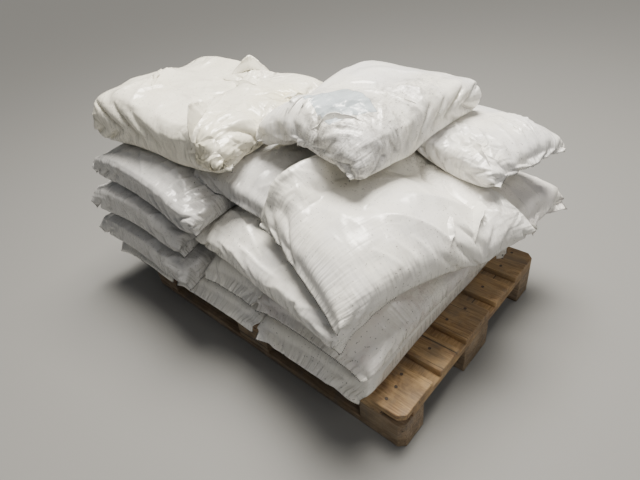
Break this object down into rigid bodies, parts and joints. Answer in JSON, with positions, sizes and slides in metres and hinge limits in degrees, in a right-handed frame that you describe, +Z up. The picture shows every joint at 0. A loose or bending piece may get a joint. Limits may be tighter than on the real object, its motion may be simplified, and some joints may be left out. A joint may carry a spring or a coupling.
{
  "type": "pallet of sacks",
  "caption": "Wooden four-way pallet stacked with courses of white film sacks that sag over each other, with two larger crumpled sacks on top.",
  "frame": {"origin": "middle of the pallet's footprint, on the floor", "axes": "+X along the pallet's 1200 mm side, +Y along its 800 mm side, +Z up; the sack ends and the long side that the picture shows face -Y"},
  "size_m": [1.456, 1.0149, 0.7949],
  "materials": {
    "deck_wood": "rough-sawn, worn, dusty",
    "block_wood": "rough-sawn, greyed, dusty",
    "sack_film": "satin film, wrinkled, dusty",
    "old_sack_film": "satin film, yellowed, crumpled and torn at one end"
  },
  "bodies": {
    "root": {"deck_board_1": "deck_wood", "deck_board_2": "deck_wood", "deck_board_3": "deck_wood", "deck_board_4": "deck_wood", "deck_board_5": "deck_wood", "stringer_board_left": "deck_wood", "stringer_board_middle": "deck_wood", "stringer_board_right": "deck_wood", "block_left_front": "block_wood", "block_middle_front": "block_wood", "block_right_front": "block_wood", "block_left_centre": "block_wood", "block_middle_centre": "block_wood", "block_right_centre": "block_wood", "block_left_back": "block_wood", "block_middle_back": "block_wood", "block_right_back": "block_wood", "bottom_board_front": "block_wood", "bottom_board_centre": "block_wood", "bottom_board_back": "block_wood", "sack_1_right": "sack_film", "sack_1_middle": "sack_film", "sack_1_left": "sack_film", "sack_2_right": "sack_film", "sack_2_left_front": "sack_film", "sack_2_left_back": "sack_film", "sack_2_middle": "sack_film", "sack_3_right_front": "sack_film", "sack_3_left_front": "sack_film", "sack_3_left_back": "sack_film", "sack_3_right_back": "sack_film", "sack_4_left_front": "sack_film", "sack_4_left_back": "sack_film", "sack_4_middle": "sack_film", "sack_4_right_front": "sack_film", "sack_4_right_back": "sack_film", "sack_top_left": "old_sack_film", "sack_top_right": "sack_film"}
  },
  "joints": []
}
